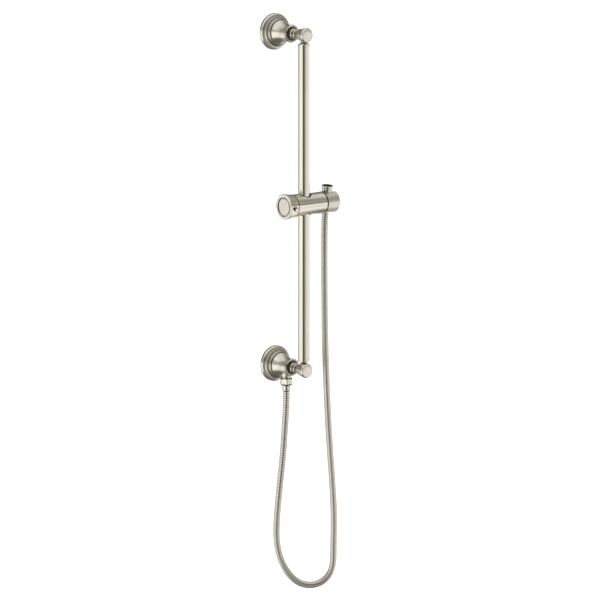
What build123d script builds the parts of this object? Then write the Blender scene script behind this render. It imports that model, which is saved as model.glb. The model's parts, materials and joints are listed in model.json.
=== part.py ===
from build123d import *
import os
from math import cos, pi, radians, sin, sqrt, tan

os.makedirs("parts", exist_ok=True)

# Shower slide rail with its hose. All sizes are in mm and +Z is up.
# The wall is the plane y = 0, and everything stands out from it towards -Y.
# The origin is the axis of the lower post, where the water supply enters.

# Rail
post_spacing = 711.0  # between the axes of the two wall posts
bar_axis = 100.0  # from the wall to the axis of the bar
bar_r = 12.5
bar_wall = 1.2
plug_neck_r = 6.75
plug_tip = 1.8  # heights above the axis of the nearer post
plug_neck_top = 15.8
plug_cone_top = 19.2
plug_top = 24.2
plug_insert = 14.0

# Wall posts, given as distance from the wall and radius
flange_r = 38.6
flange_depth = 17.6
flange_bore_r = 21.0
post_ring_r = 28.4
post_bell_r = 25.4
post_neck_r = 17.2
post_front = 57.0
post_collar_r = 19.1
post_collar_front = 63.0
stem_thread_r = 6.0
stem_seat = 48.0  # bottom of the tapped hole in the front of a post
stem_bead_r = 8.0  # between the beads
finial_back = 80.4
finial_thread_r = 5.0
finial_back_r = 9.4
finial_groove = 104.9
finial_groove_r = 14.2
finial_front = 112.7
finial_r = 15.6
finial_cap_r = 12.2
finial_cap_depth = 1.0
finial_cap_dome = 0.6

# Fixings
bracket_plate_r = 19.0
bracket_plate_depth = 4.0
bracket_boss_r = 9.0
bracket_boss_depth = 24.0
bracket_screw_pitch = 28.0
bracket_screw_hole_r = 2.5
set_screw_r = 2.5
set_screw_length = 8.0
set_screw_depth = 24.0  # from the wall

# Water inlet and outlet, with half-inch pipe threads drawn at their major diameter
thread_r = 10.5
adapter_r = 14.0
adapter_depth = 28.0
adapter_thread_depth = 14.0
waterway_r = 5.5
outlet_axis = 41.0  # from the wall
boss_end = -22.6
boss_tap_depth = 9.0
neck_end = -26.0
neck_r = 9.75
nipple_end = -35.0

# Lower end of the hose
washer_thickness = 1.4
ferrule_bore_r = 4.2
ferrule_lip_r = 9.9
hex_width = 24.0
hex_bottom = -41.0
sleeve_r = 8.8
sleeve_end = -53.6
hose_r = 7.1

# Slider
slider_z = 354.5
body_left = -31.3
body_left_r = 24.4
body_waist_r = 22.9
body_right = 47.1
body_right_r = 23.2
spigot_r = 20.0
spigot_end = -50.0
spigot_bore_r = 15.0
bar_bore_r = 14.5
plunger_neck_r = 9.0
collar_right = -31.6
collar_left = -53.9
collar_right_r = 24.4
collar_left_r = 27.1
collar_mouth_r = 21.2
pin_x = -38.2
pin_angle = 11.7  # below the horizontal, at the front
pin_r = 4.2
pin_length = 10.5
lock_travel = 7.2
lock_turn = 11.0
running_fit = 0.08
gap = 0.3  # between pieces that move past each other

# Holder and the conical nut of the hose
holder_left = 48.1
holder_right = 81.5
holder_r = 23.1
holder_spigot_r = 14.0
holder_spigot_end = 32.0
socket_x = 63.1
socket_back = 3.2  # the socket's axis passes this far behind the slider's axis
socket_lean = 7.2  # degrees, top away from the wall
nut_bottom = -8.0  # along the socket's axis, from the height of the slider's axis
nut_top = 35.6
nut_bottom_r = 9.6
nut_top_r = 12.0
hose_slot = 15.4
tilt_forward = 15.0
tilt_back = 25.0

# The hose's route, from the lower ferrule to the conical nut
hose_route = [
    (0, -41, -53.6),
    (0, -41, -80),
    (-2, -39, -131),
    (-6, -36, -202),
    (-12, -32, -270),
    (-16, -28, -331),
    (-17, -27, -378),
    (-12, -31, -417),
    (-2, -40, -449),
    (16, -54, -475),
    (37, -71, -483.5),
    (56.5, -87, -478),
    (71, -99, -461.5),
    (78, -105, -437),
    (78.5, -105, -391),
    (79, -106, -340),
    (78, -105, -290),
    (73, -101, -200),
    (68, -97, -100),
    (64, -94, 30),
    (62.5, -92.5, 150),
    (62.5, -92, 250),
    (63.1, -91.8, 314.9),
    (63.1, -95.8, 346.56),
]

slider_axis = Axis((0, -bar_axis, slider_z), (1, 0, 0))
slider_plane = Plane(origin=(0, -bar_axis, slider_z), x_dir=(1, 0, 0), z_dir=(0, -1, 0))
socket_origin = Vector(socket_x, -bar_axis + socket_back, slider_z)
socket_dir = Vector(0, -sin(radians(socket_lean)), cos(radians(socket_lean)))
socket_axis = Axis(socket_origin, socket_dir)
# x across the socket, y along its axis
socket_plane = Plane(origin=socket_origin, x_dir=(1, 0, 0), z_dir=Vector(1, 0, 0).cross(socket_dir))
nut_slope = (nut_top_r - nut_bottom_r) / (nut_top - nut_bottom)


def save(piece, label):
    piece.label = label
    export_step(piece, "parts/" + label + ".step")


def post_plane(z):
    """x runs out from the wall and y is the radius, for pieces turned about a post's axis."""
    return Plane(origin=(0, 0, z), x_dir=(0, -1, 0), z_dir=(1, 0, 0))


def post_line(z):
    return Axis((0, 0, z), (0, -1, 0))


def turned_z(x, y, points):
    """A piece turned about a vertical axis, from (radius, height) points."""
    with BuildPart() as turned:
        with BuildSketch(Plane(origin=(x, y, 0), x_dir=(1, 0, 0), z_dir=(0, -1, 0))):
            with BuildLine():
                Polyline(*points, close=True)
            make_face()
        revolve(axis=Axis((x, y, 0), (0, 0, 1)))
    return turned.part


def turned_socket(points):
    """A piece turned about the socket's axis, from (radius, height along it) points."""
    with BuildPart() as turned:
        with BuildSketch(socket_plane):
            with BuildLine():
                Polyline(*points, close=True)
            make_face()
        revolve(axis=socket_axis)
    return turned.part


def flange(z):
    """Wall flange: a rounded rim, a stepped groove and a cove up to the post."""
    with BuildPart() as rose:
        with BuildSketch(post_plane(z)):
            with BuildLine():
                Polyline((0, flange_r - 3), (0, flange_r), (3.4, flange_r))
                ThreePointArc((3.4, flange_r), (7.9, 37.2), (9.8, 34.6))
                Line((9.8, 34.6), (10.2, 33.2))
                Line((10.2, 33.2), (13.4, 33.0))
                ThreePointArc((13.4, 33.0), (14.9, 30.0), (flange_depth, 28.4))
                Line((flange_depth, 28.4), (flange_depth, flange_bore_r))
                Line((flange_depth, flange_bore_r), (15.4, flange_bore_r))
                Line((15.4, flange_bore_r), (15.4, 26.0))
                Polyline((15.4, 26.0), (11.0, 30.6), (8.0, 31.0), (6.0, flange_r - 3), (0, flange_r - 3))
            make_face()
        revolve(axis=post_line(z))
    return rose.part


def post_outline():
    """Outside of a post, from its base ring to its front face, left open along the axis."""
    Polyline((flange_depth + 0.2, post_ring_r - 0.6), (flange_depth + 0.8, post_ring_r), (20.0, post_ring_r))
    ThreePointArc((20.0, post_ring_r), (21.2, 27.9), (21.8, 26.8))
    Polyline((21.8, 26.8), (22.2, post_bell_r), (25.0, post_bell_r))
    Spline(
        (25.0, post_bell_r),
        (32.0, 21.8),
        (41.0, 18.9),
        (post_front, post_neck_r),
        tangents=((0.7, -0.6), (1, -0.02)),
    )


def post_blank(z, bore_r, bore_end):
    """A post as a closed shell of revolution, bored from the back and tapped at the front."""
    with BuildPart() as post:
        with BuildSketch(post_plane(z)):
            with BuildLine():
                post_outline()
                Polyline(
                    (post_front, post_neck_r),
                    (post_front, stem_thread_r),
                    (stem_seat, stem_thread_r),
                    (stem_seat, 0),
                    (bore_end, 0),
                    (bore_end, bore_r),
                    (5.0, bore_r),
                    (5.0, flange_bore_r - 0.2),
                    (flange_depth + 0.2, flange_bore_r - 0.2),
                    (flange_depth + 0.2, post_ring_r - 0.6),
                )
            make_face()
        revolve(axis=post_line(z))
    return post.part


def post_collar(z):
    """Ring in front of the post, with a dished front."""
    r = post_collar_r
    with BuildPart() as ring:
        with BuildSketch(post_plane(z)):
            with BuildLine():
                Polyline((post_front, stem_thread_r), (post_front, r - 1.4))
                ThreePointArc((post_front, r - 1.4), (60.0, r), (post_collar_front, r - 1.6))
                Line((post_collar_front, r - 1.6), (post_collar_front - 0.5, r - 3.2))
                ThreePointArc((post_collar_front - 0.5, r - 3.2), (60.9, 13.4), (60.0, 10.0))
                Polyline((60.0, 10.0), (60.0, stem_thread_r), (post_front, stem_thread_r))
            make_face()
        revolve(axis=post_line(z))
    return ring.part


def stem(z):
    """Two beads on a threaded stem, between the collar and the finial."""
    foot = stem_seat + 0.4
    thread_end = finial_back + 11.2
    with BuildPart() as beads:
        with BuildSketch(post_plane(z)):
            with BuildLine():
                Polyline((foot, 0), (foot, stem_thread_r), (60.0, stem_thread_r), (60.0, stem_bead_r))
                Line((60.0, stem_bead_r), (63.4, stem_bead_r))
                ThreePointArc((63.4, stem_bead_r), (66.8, 10.9), (70.2, stem_bead_r))
                Line((70.2, stem_bead_r), (72.4, stem_bead_r))
                ThreePointArc((72.4, stem_bead_r), (75.4, 10.2), (78.4, stem_bead_r))
                Polyline((78.4, stem_bead_r), (finial_back, stem_bead_r), (finial_back, finial_thread_r))
                Line((finial_back, finial_thread_r), (thread_end, finial_thread_r))
                Polyline((thread_end, finial_thread_r), (thread_end, 0), (foot, 0))
            make_face()
        revolve(axis=post_line(z))
    return beads.part


def finial(z, side):
    """Barrel on the end of the stem; side is the way to the bar, 1 up or -1 down."""
    groove, groove_r, front = finial_groove, finial_groove_r, finial_front
    cap_seat = front - finial_cap_depth
    thread_end = finial_back + 11.4
    with BuildPart() as barrel:
        with BuildSketch(post_plane(z)):
            with BuildLine():
                Polyline((finial_back, finial_thread_r), (finial_back, finial_back_r))
                ThreePointArc((finial_back, finial_back_r), (90.5, 12.3), (groove - 1.2, groove_r + 0.6))
                Polyline((groove - 1.2, groove_r + 0.6), (groove - 0.6, groove_r), (groove + 0.4, groove_r))
                Line((groove + 0.4, groove_r), (groove + 0.8, groove_r + 0.9))
                ring_top = (108.7, finial_r)
                ThreePointArc((groove + 0.8, groove_r + 0.9), ring_top, (front - 1.1, finial_r - 1.2))
                Polyline((front - 1.1, finial_r - 1.2), (front, finial_r - 1.9), (front, finial_cap_r))
                Polyline((front, finial_cap_r), (cap_seat, finial_cap_r), (cap_seat, 0), (thread_end, 0))
                Polyline((thread_end, 0), (thread_end, finial_thread_r), (finial_back, finial_thread_r))
            make_face()
        revolve(axis=post_line(z))
        with BuildSketch(Plane(origin=(0, -bar_axis, z + plug_tip * side), z_dir=(0, 0, side))):
            Circle(plug_neck_r)
        extrude(amount=20, mode=Mode.SUBTRACT)
    return barrel.part


def finial_cap(z):
    """Slightly domed disc in the front of a finial."""
    cap_seat = finial_front - finial_cap_depth
    crown = finial_front + finial_cap_dome
    with BuildPart() as disc:
        with BuildSketch(post_plane(z)):
            with BuildLine():
                Polyline((finial_front, finial_cap_r), (cap_seat, finial_cap_r), (cap_seat, 0), (crown, 0))
                ThreePointArc((crown, 0), (crown - 0.15, finial_cap_r / 2), (finial_front, finial_cap_r))
            make_face()
        revolve(axis=post_line(z))
    return disc.part


def bar_plug(z, side):
    """Turned plug that closes the bar's end and carries it in the finial."""
    inner_r = bar_r - bar_wall
    heights = [plug_tip, plug_neck_top, plug_cone_top, plug_top, plug_top + plug_insert]
    low, neck, cone, top, end = [z + side * h for h in heights]
    return turned_z(
        0,
        -bar_axis,
        [
            (0, low),
            (plug_neck_r, low),
            (plug_neck_r, neck),
            (bar_r, cone),
            (bar_r, top),
            (inner_r, top),
            (inner_r, end),
            (0, end),
        ],
    )


def set_screw(z, angle, tip):
    """Grub screw that points at a post's axis, with a hexagon socket; angle is from straight down."""
    out = Vector(sin(radians(angle)), 0, -cos(radians(angle)))
    seat = Plane(origin=Vector(0, -set_screw_depth, z) + out * tip, z_dir=out)
    with BuildPart() as screw:
        with BuildSketch(seat):
            Circle(set_screw_r)
        extrude(amount=set_screw_length)
        with BuildSketch(seat.offset(set_screw_length)):
            RegularPolygon(1.25, 6, major_radius=False)
        extrude(amount=-3, mode=Mode.SUBTRACT)
    return screw.part


def rod(plane, radius, length, mode=Mode.ADD):
    """A round piece or hole of the part being built, standing on a plane."""
    with Locations(plane.location):
        Cylinder(radius, length, align=(Align.CENTER, Align.CENTER, Align.MIN), mode=mode)


def set_screw_hole(z, angle):
    out = Vector(sin(radians(angle)), 0, -cos(radians(angle)))
    rod(Plane(origin=Vector(0, -set_screw_depth, z), z_dir=out), set_screw_r, 40, Mode.SUBTRACT)


# The pieces that both posts share
for end_name, end_z, to_bar in (("top", post_spacing, -1), ("bottom", 0.0, 1)):
    save(flange(end_z), end_name + "_flange")
    save(post_collar(end_z), end_name + "_post_collar")
    save(stem(end_z), end_name + "_stem")
    save(finial(end_z, to_bar), end_name + "_finial")
    save(finial_cap(end_z), end_name + "_finial_cap")
    save(bar_plug(end_z, to_bar), end_name + "_bar_plug")

# Upper post, which fits over a bracket that is screwed to the wall
top_screw_angle = 0.0
with BuildPart() as top_post:
    add(post_blank(post_spacing, bracket_boss_r + 0.05, bracket_boss_depth + 4))
    set_screw_hole(post_spacing, top_screw_angle)
save(top_post.part, "top_post")
save(set_screw(post_spacing, top_screw_angle, bracket_boss_r - 0.6), "top_set_screw")

with BuildPart() as top_bracket:
    with BuildSketch(Plane(origin=(0, 0, post_spacing), z_dir=(0, -1, 0))):
        Circle(bracket_plate_r)
    extrude(amount=bracket_plate_depth)
    with BuildSketch(Plane(origin=(0, -bracket_plate_depth, post_spacing), z_dir=(0, -1, 0))):
        Circle(bracket_boss_r)
    extrude(amount=bracket_boss_depth + 3 - bracket_plate_depth)
    with BuildSketch(Plane(origin=(0, 0, post_spacing), x_dir=(1, 0, 0), z_dir=(0, -1, 0))):
        with GridLocations(1, bracket_screw_pitch, 1, 2):
            Circle(bracket_screw_hole_r)
    extrude(amount=bracket_plate_depth, mode=Mode.SUBTRACT)
    screw_seat = Plane(origin=(0, -set_screw_depth, post_spacing - bracket_boss_r + 0.6), z_dir=(0, 0, -1))
    with BuildSketch(screw_seat):
        Circle(set_screw_r)
    extrude(amount=2, mode=Mode.SUBTRACT)
save(top_bracket.part, "top_wall_bracket")

# Lower post, with its waterway and the boss for the outlet
bottom_screw_angle = 60.0
with BuildPart() as bottom_post:
    add(post_blank(0, adapter_r + 0.05, adapter_depth + 0.5))
    with BuildSketch(Plane(origin=(0, -outlet_axis, -12), z_dir=(0, 0, -1))):
        Circle(neck_r + 0.6)
    extrude(amount=-12 - boss_end)
    with BuildSketch(Plane(origin=(0, -adapter_depth, 0), z_dir=(0, -1, 0))):
        Circle(waterway_r)
    extrude(amount=outlet_axis + waterway_r - adapter_depth, mode=Mode.SUBTRACT)
    with BuildSketch(Plane(origin=(0, -outlet_axis, 0), z_dir=(0, 0, -1))):
        Circle(waterway_r)
    extrude(amount=-boss_end, mode=Mode.SUBTRACT)
    with BuildSketch(Plane(origin=(0, -outlet_axis, boss_end), z_dir=(0, 0, 1))):
        Circle(8.0)
    extrude(amount=boss_tap_depth + 1, mode=Mode.SUBTRACT)
    set_screw_hole(0, bottom_screw_angle)
save(bottom_post.part, "bottom_post")
save(set_screw(0, bottom_screw_angle, adapter_r - 0.6), "bottom_set_screw")

ring_grooves = (10.0, 15.0)  # distances of the adapter's seals from the wall
ring_section = 1.5
with BuildPart() as supply_adapter:
    with BuildSketch(Plane.XZ):
        Circle(adapter_r)
    extrude(amount=adapter_depth)
    with BuildSketch(Plane.XZ):
        Circle(thread_r)
    extrude(amount=adapter_thread_depth, mode=Mode.SUBTRACT)
    with BuildSketch(Plane.XZ):
        Circle(waterway_r + 0.5)
    extrude(amount=adapter_depth, mode=Mode.SUBTRACT)
    for groove in ring_grooves:
        with BuildSketch(Plane.XZ.offset(groove - ring_section)):
            Circle(adapter_r)
            Circle(adapter_r - 1.6, mode=Mode.SUBTRACT)
        extrude(amount=2 * ring_section, mode=Mode.SUBTRACT)
    out = Vector(sin(radians(bottom_screw_angle)), 0, -cos(radians(bottom_screw_angle)))
    with BuildSketch(Plane(origin=Vector(0, -set_screw_depth, 0) + out * (adapter_r - 0.6), z_dir=out)):
        Circle(set_screw_r)
    extrude(amount=2, mode=Mode.SUBTRACT)
save(supply_adapter.part, "supply_adapter")

with BuildPart() as adapter_seals:
    for groove in ring_grooves:
        with BuildSketch(Plane.XZ.offset(groove - 0.75)):
            Circle(adapter_r)
            Circle(adapter_r - 1.55, mode=Mode.SUBTRACT)
        extrude(amount=1.5)
save(adapter_seals.part, "adapter_o_rings")

# Outlet with its check valve
nipple_bore_r = 6.6
save(
    turned_z(
        0,
        -outlet_axis,
        [
            (waterway_r - 0.5, boss_end + boss_tap_depth),
            (8.0, boss_end + boss_tap_depth),
            (8.0, boss_end),
            (neck_r, boss_end),
            (neck_r, neck_end),
            (thread_r - 0.1, neck_end),
            (thread_r - 0.1, nipple_end),
            (nipple_bore_r, nipple_end),
            (nipple_bore_r, boss_end - 0.8),
            (waterway_r - 0.5, boss_end - 0.8),
        ],
    ),
    "outlet_nipple",
)
valve_top = boss_end - 0.8
valve_bottom = nipple_end + 0.4
with BuildPart() as check_valve:
    with BuildSketch(Plane(origin=(0, -outlet_axis, valve_top), z_dir=(0, 0, -1))):
        Circle(nipple_bore_r)
    extrude(amount=valve_top - valve_bottom)
    with BuildSketch(Plane(origin=(0, -outlet_axis, valve_top), z_dir=(0, 0, -1))):
        Circle(3.4)
    extrude(amount=1.5, mode=Mode.SUBTRACT)
    with BuildSketch(Plane(origin=(0, -outlet_axis, valve_top - 1.5), z_dir=(0, 0, -1))):
        Circle(5.4)
    extrude(amount=valve_top - 1.5 - valve_bottom - 1.5, mode=Mode.SUBTRACT)
    with BuildSketch(Plane(origin=(0, -outlet_axis, valve_bottom), z_dir=(0, 0, 1))):
        Circle(1.15)
        with PolarLocations(3.6, 4):
            Circle(1.2)
    extrude(amount=1.5, mode=Mode.SUBTRACT)
save(check_valve.part, "check_valve_body")

poppet_top = valve_top - 1.8
save(
    turned_z(
        0,
        -outlet_axis,
        [
            (0, poppet_top),
            (4.6, poppet_top),
            (4.6, poppet_top - 0.9),
            (1.07, poppet_top - 1.5),
            (1.07, valve_bottom + 0.2),
            (0, valve_bottom + 0.2),
        ],
    ),
    "check_valve_poppet",
)
spring_wire_r = 0.3
spring_turns = 5
spring_r = 2.6
spring_low = valve_bottom + 1.5 + spring_wire_r
spring_height = poppet_top - 1.6 - spring_wire_r - spring_low
with BuildPart() as valve_spring:
    with BuildLine():
        coil = Helix(
            pitch=spring_height / spring_turns,
            height=spring_height,
            radius=spring_r,
            center=(0, -outlet_axis, spring_low),
        )
    with BuildSketch(Plane(origin=coil @ 0, z_dir=coil % 0)):
        Circle(spring_wire_r)
    sweep()
save(valve_spring.part, "check_valve_spring")

# Lower end of the hose
washer_low = nipple_end - washer_thickness
save(
    turned_z(
        0,
        -outlet_axis,
        [(5.0, nipple_end), (ferrule_lip_r, nipple_end), (ferrule_lip_r, washer_low), (5.0, washer_low)],
    ),
    "hose_lower_washer",
)
lip_low = washer_low - 2.0
save(
    turned_z(
        0,
        -outlet_axis,
        [
            (ferrule_bore_r, washer_low),
            (ferrule_lip_r, washer_low),
            (ferrule_lip_r, lip_low),
            (8.0, lip_low),
            (8.0, hex_bottom - 0.3),
            (sleeve_r - 0.4, hex_bottom - 0.3),
            (sleeve_r, hex_bottom - 0.8),
            (sleeve_r, sleeve_end + 0.6),
            (sleeve_r - 0.6, sleeve_end),
            (ferrule_bore_r, sleeve_end),
        ],
    ),
    "hose_lower_ferrule",
)
with BuildPart() as hex_nut:
    with BuildSketch(Plane(origin=(0, -outlet_axis, neck_end), x_dir=(1, 0, 0), z_dir=(0, 0, -1))):
        RegularPolygon(hex_width / 2, 6, major_radius=False)
    extrude(amount=neck_end - hex_bottom)
    corners = Axis((0, -outlet_axis, 0), (0, 0, 1))
    with BuildSketch(Plane(origin=(0, -outlet_axis, 0), x_dir=(1, 0, 0), z_dir=(0, -1, 0))):
        with BuildLine():
            Polyline(
                (0, neck_end),
                (hex_width / 2, neck_end),
                (hex_width / 2 + 2, neck_end - 1.2),
                (hex_width / 2 + 2, hex_bottom + 1.2),
                (hex_width / 2, hex_bottom),
                (0, hex_bottom),
                close=True,
            )
        make_face()
    revolve(axis=corners, mode=Mode.INTERSECT)
    with BuildSketch(Plane(origin=(0, -outlet_axis, neck_end), z_dir=(0, 0, -1))):
        Circle(thread_r)
    extrude(amount=neck_end - lip_low, mode=Mode.SUBTRACT)
    with BuildSketch(Plane(origin=(0, -outlet_axis, neck_end), z_dir=(0, 0, -1))):
        Circle(8.1)
    extrude(amount=neck_end - hex_bottom, mode=Mode.SUBTRACT)
save(hex_nut.part, "hose_hex_nut")

# Bar
with BuildPart() as slide_bar:
    with BuildSketch(Plane(origin=(0, -bar_axis, plug_top), z_dir=(0, 0, 1))):
        Circle(bar_r)
        Circle(bar_r - bar_wall, mode=Mode.SUBTRACT)
    extrude(amount=post_spacing - 2 * plug_top)
save(slide_bar.part, "slide_bar")


# Slider
def pin_plane(radius, x=pin_x):
    """Plane across the cam pin at a radius from the slider's axis, with x along that axis."""
    out = Vector(0, -cos(radians(pin_angle)), -sin(radians(pin_angle)))
    return Plane(origin=Vector(x, -bar_axis, slider_z) + out * radius, x_dir=(1, 0, 0), z_dir=out)


def slider_disc(x_from, x_to, radius, mode):
    """A round step of the slider, about its axis."""
    rod(Plane(origin=(x_from, -bar_axis, slider_z), z_dir=(1, 0, 0)), radius, x_to - x_from, mode)


screw_x = 37.2  # of the grub screw that holds the tilting holder
with BuildPart() as slider_body:
    with BuildSketch(slider_plane):
        with BuildLine():
            Polyline((body_left, 0), (spigot_end, 0), (spigot_end, spigot_r), (body_left, spigot_r))
            Line((body_left, spigot_r), (body_left, body_left_r - 0.4))
            Line((body_left, body_left_r - 0.4), (body_left + 0.4, body_left_r))
            waist = (14.0, body_waist_r)
            ThreePointArc((body_left + 0.4, body_left_r), waist, (body_right - 0.5, body_right_r))
            Polyline((body_right - 0.5, body_right_r), (body_right, body_right_r - 0.6), (body_right, 0))
            Line((body_right, 0), (body_left, 0))
        make_face()
    revolve(axis=slider_axis)
    slider_disc(spigot_end, -25.0, spigot_bore_r, Mode.SUBTRACT)
    slider_disc(-26.0, 0, plunger_neck_r + running_fit, Mode.SUBTRACT)
    slider_disc(holder_spigot_end - gap, body_right, holder_spigot_r + running_fit, Mode.SUBTRACT)
    with BuildSketch(Plane(origin=(0, -bar_axis, slider_z - 30), z_dir=(0, 0, 1))):
        Circle(bar_bore_r)
    extrude(amount=60, mode=Mode.SUBTRACT)
    with BuildSketch(pin_plane(spigot_bore_r - 3, pin_x - 10)):
        SlotCenterToCenter(20, 2 * (pin_r + gap))
    extrude(amount=8, mode=Mode.SUBTRACT)
    with BuildSketch(Plane(origin=(screw_x, -bar_axis, slider_z), z_dir=(0, 0, -1))):
        Circle(set_screw_r)
    extrude(amount=30, mode=Mode.SUBTRACT)
save(slider_body.part, "slider_body")

with BuildPart() as bar_bushes:
    for low in (-18.2, 9.8):
        with BuildSketch(Plane(origin=(0, -bar_axis, slider_z + low), z_dir=(0, 0, 1))):
            Circle(bar_bore_r)
            Circle(bar_r + running_fit, mode=Mode.SUBTRACT)
        extrude(amount=8.4)
save(bar_bushes.part, "slider_bushes")

with BuildPart() as end_cap:
    slider_disc(-53.2, -51.4, 17.4, Mode.ADD)
    fillet(end_cap.edges().sort_by(Axis.X)[0], 0.7)
    slider_disc(-51.4, -50.4, spigot_bore_r, Mode.ADD)
save(end_cap.part, "slider_end_cap")

ring_gap = 5.0
with BuildPart() as retaining_ring:
    slider_disc(-51.4, spigot_end, 20.8, Mode.ADD)
    slider_disc(-51.4, spigot_end, spigot_bore_r, Mode.SUBTRACT)
    with BuildSketch(Plane(origin=(-51.4, -bar_axis, slider_z), x_dir=(0, 1, 0), z_dir=(1, 0, 0))):
        with Locations((0, 18)):
            Rectangle(ring_gap, 10)
    extrude(amount=2, mode=Mode.SUBTRACT)
save(retaining_ring.part, "collar_retaining_ring")

# Lock collar, whose slanted slot drives the pin of the plunger along the axis
with BuildPart() as lock_collar:
    with BuildSketch(slider_plane):
        with BuildLine():
            bore = spigot_r + running_fit
            Polyline((collar_right, bore), (collar_right, collar_right_r - 0.4))
            Line((collar_right, collar_right_r - 0.4), (collar_right - 0.4, collar_right_r))
            Line((collar_right - 0.4, collar_right_r), (collar_left + 1.6, collar_left_r))
            ThreePointArc((collar_left + 1.6, collar_left_r), (collar_left + 0.5, 26.7), (collar_left, 25.6))
            Polyline((collar_left, 25.6), (collar_left, collar_mouth_r), (spigot_end + gap, collar_mouth_r))
            Polyline((spigot_end + gap, collar_mouth_r), (spigot_end + gap, bore), (collar_right, bore))
        make_face()
    revolve(axis=slider_axis)
    mid_angle = pin_angle - lock_turn / 2
    out = Vector(0, -cos(radians(mid_angle)), -sin(radians(mid_angle)))
    slot_rise = radians(lock_turn) * 24.0
    slot_plane = Plane(
        origin=Vector(pin_x - lock_travel / 2, -bar_axis, slider_z) + out * (spigot_r - 2),
        x_dir=Vector(lock_travel, 0, 0) - Vector(1, 0, 0).cross(out) * -slot_rise,
        z_dir=out,
    )
    with BuildSketch(slot_plane):
        SlotCenterToCenter(sqrt(lock_travel**2 + slot_rise**2), 2 * (pin_r + 0.45))
    extrude(amount=12, mode=Mode.SUBTRACT)
save(lock_collar.part, "lock_collar")

pad_thickness = 3.0
plunger_front = -bar_r - gap - pad_thickness
with BuildPart() as lock_plunger:
    slider_disc(-42.0, -25.0 - gap, spigot_bore_r - running_fit, Mode.ADD)
    slider_disc(-25.0 - gap, plunger_front, plunger_neck_r, Mode.ADD)
    with BuildSketch(pin_plane(8)):
        Circle(2.5)
    extrude(amount=8, mode=Mode.SUBTRACT)
save(lock_plunger.part, "lock_plunger")

with BuildPart() as plunger_pad:
    slider_disc(plunger_front, -6, plunger_neck_r, Mode.ADD)
    with BuildSketch(Plane(origin=(0, -bar_axis, slider_z - 12), z_dir=(0, 0, 1))):
        Circle(bar_r + running_fit)
    extrude(amount=24, mode=Mode.SUBTRACT)
save(plunger_pad.part, "plunger_pad")

with BuildPart() as cam_pin:
    with BuildSketch(pin_plane(8)):
        Circle(2.5)
    extrude(amount=7)
    with BuildSketch(pin_plane(spigot_bore_r - running_fit)):
        Circle(pin_r)
    extrude(amount=pin_length)
    fillet(cam_pin.edges().sort_by(Axis.Y)[0], 1.2)
save(cam_pin.part, "cam_pin")


# Holder, which tilts about the slider's axis and takes the conical nut in a tapered socket
def nut_radius(s):
    return nut_bottom_r + (s - nut_bottom) * nut_slope


seal_x = 43.5  # of the ring that holds the holder by friction
with BuildPart() as holder:
    slider_disc(holder_left, holder_right, holder_r, Mode.ADD)
    fillet(holder.edges().sort_by(Axis.X)[-1], 2.6)
    chamfer(holder.edges().sort_by(Axis.X)[0], 0.6)
    slider_disc(holder_spigot_end, holder_left, holder_spigot_r, Mode.ADD)
    with BuildSketch(slider_plane):
        with Locations((screw_x, holder_spigot_r), (seal_x, holder_spigot_r)):
            Rectangle(5.8, 3.6)
    revolve(axis=slider_axis, mode=Mode.SUBTRACT)
    with BuildSketch(socket_plane):
        with BuildLine():
            Polyline(
                (0, -30),
                (nut_radius(-30) + running_fit, -30),
                (nut_radius(30) + running_fit, 30),
                (0, 30),
                close=True,
            )
        make_face()
    revolve(axis=socket_axis, mode=Mode.SUBTRACT)
    with BuildSketch(socket_plane):
        with Locations((20, 0)):
            Rectangle(40, 60)
    extrude(amount=hose_slot / 2, both=True, mode=Mode.SUBTRACT)
    # Relief below, so that the hose hangs free while the holder tilts
    with BuildSketch(Plane(origin=socket_origin, x_dir=(0, 1, 0), z_dir=(1, 0, 0))):
        with BuildLine():
            Polyline(
                (-8.6, -5.0),
                (-8.9 - 24 * tan(radians(tilt_forward)), -29.0),
                (9.4 + 29 * tan(radians(tilt_back)), -29.0),
                (9.4, -3.0),
                close=True,
            )
        make_face()
    extrude(amount=hose_slot / 2 + 0.3, both=True, mode=Mode.SUBTRACT)
save(holder.part, "holder")

with BuildPart() as holder_seal:
    slider_disc(seal_x - 1.2, seal_x + 1.2, holder_spigot_r - 0.02, Mode.ADD)
    slider_disc(seal_x - 1.2, seal_x + 1.2, holder_spigot_r - 1.75, Mode.SUBTRACT)
save(holder_seal.part, "holder_friction_ring")

with BuildPart() as holder_screw:
    screw_top = Plane(origin=(screw_x, -bar_axis, slider_z - 12.7), z_dir=(0, 0, -1))
    with BuildSketch(screw_top):
        Circle(set_screw_r)
    extrude(amount=set_screw_length)
    with BuildSketch(screw_top.offset(set_screw_length)):
        RegularPolygon(1.25, 6, major_radius=False)
    extrude(amount=-3, mode=Mode.SUBTRACT)
save(holder_screw.part, "holder_retaining_screw")

# Upper end of the hose: the conical nut turns on its ferrule
lip_top = 21.5
washer_top = lip_top + washer_thickness
nut_sleeve_r = 8.1
save(
    turned_socket(
        [
            (nut_sleeve_r + running_fit, nut_bottom),
            (nut_bottom_r, nut_bottom),
            (nut_radius(nut_top - 0.6), nut_top - 0.6),
            (nut_top_r - 0.6, nut_top),
            (thread_r + 0.3, nut_top),
            (thread_r, nut_top - 0.4),
            (thread_r, washer_top),
            (ferrule_lip_r + 0.4, washer_top),
            (ferrule_lip_r + 0.4, lip_top - 2.0 - gap),
            (nut_sleeve_r + running_fit, lip_top - 2.0 - gap),
        ]
    ),
    "hose_conical_nut",
)
save(
    turned_socket(
        [
            (ferrule_bore_r, nut_bottom),
            (nut_sleeve_r, nut_bottom),
            (nut_sleeve_r, lip_top - 2.0),
            (ferrule_lip_r, lip_top - 2.0),
            (ferrule_lip_r, lip_top),
            (ferrule_bore_r, lip_top),
        ]
    ),
    "hose_upper_ferrule",
)
save(
    turned_socket([(5.0, lip_top), (ferrule_lip_r, lip_top), (ferrule_lip_r, washer_top), (5.0, washer_top)]),
    "hose_upper_washer",
)

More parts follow.
